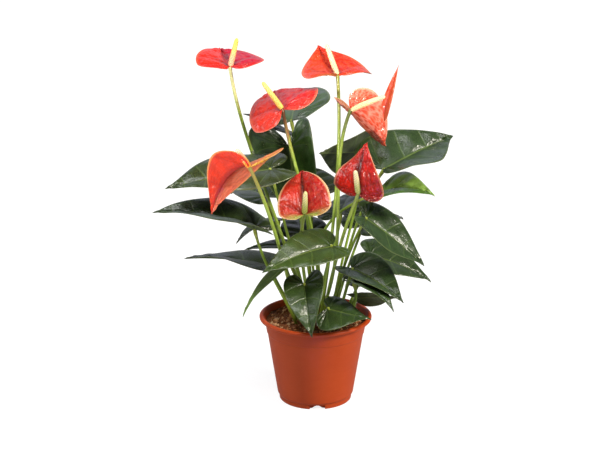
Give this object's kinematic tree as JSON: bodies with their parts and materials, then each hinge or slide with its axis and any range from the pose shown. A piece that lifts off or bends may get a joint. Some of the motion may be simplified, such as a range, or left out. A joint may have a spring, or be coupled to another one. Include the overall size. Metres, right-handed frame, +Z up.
{
  "type": "potted anthurium",
  "caption": "Flowering anthurium in a round plastic nursery pot: heart-shaped leaves and red spathes with cream spadices on long stems rising from potting soil.",
  "frame": {"origin": "middle of the flat boss under the pot, on the plane the pot stands on", "axes": "+Z up along the pot's axis; -Y towards the front, the side that shows the widest spread of leaves; +X to the right seen from the front"},
  "size_m": [0.367, 0.3532, 0.4557],
  "materials": {
    "pot": "satin",
    "soil": "matte",
    "leaf": "satin",
    "young_leaf": "satin",
    "spathe": "gloss",
    "spadix": "matte",
    "stalk": "satin"
  },
  "bodies": {
    "root": {"leaf_back_tall": "leaf", "leaf_back_thin": "leaf", "leaf_centre_tall": "leaf", "leaf_left_top": "leaf", "leaf_left_middle": "leaf", "leaf_left_low": "leaf", "leaf_left_back": "leaf", "leaf_left_thin": "leaf", "leaf_front_young": "young_leaf", "leaf_front_high": "leaf", "leaf_front_low": "leaf", "leaf_rim_front": "leaf", "leaf_rim_right": "leaf", "leaf_right_low": "leaf", "leaf_right_under": "leaf", "leaf_right_middle": "leaf", "leaf_right_front": "leaf", "leaf_right_young": "young_leaf", "leaf_right_top": "leaf", "leaf_back_dark": "leaf", "leaf_back_right": "leaf", "leaf_back_middle": "leaf", "leaf_back_low": "leaf", "leaf_rim_back": "leaf", "leaf_behind_right": "leaf", "leaf_behind_left": "leaf", "flower_stalk_top_left": "stalk", "spathe_top_left": "spathe", "spadix_top_left": "spadix", "flower_stalk_upper_left": "stalk", "spathe_upper_left": "spathe", "spadix_upper_left": "spadix", "flower_stalk_top_right": "stalk", "spathe_top_right": "spathe", "spadix_top_right": "spadix", "flower_stalk_upper_right": "stalk", "spathe_upper_right": "spathe", "spadix_upper_right": "spadix", "flower_stalk_left": "stalk", "spathe_left": "spathe", "spadix_left": "spadix", "flower_stalk_centre": "stalk", "spathe_centre": "spathe", "spadix_centre": "spadix", "flower_stalk_right": "stalk", "spathe_right": "spathe", "spadix_right": "spadix", "soil": "soil", "pot": "pot"}
  },
  "joints": []
}
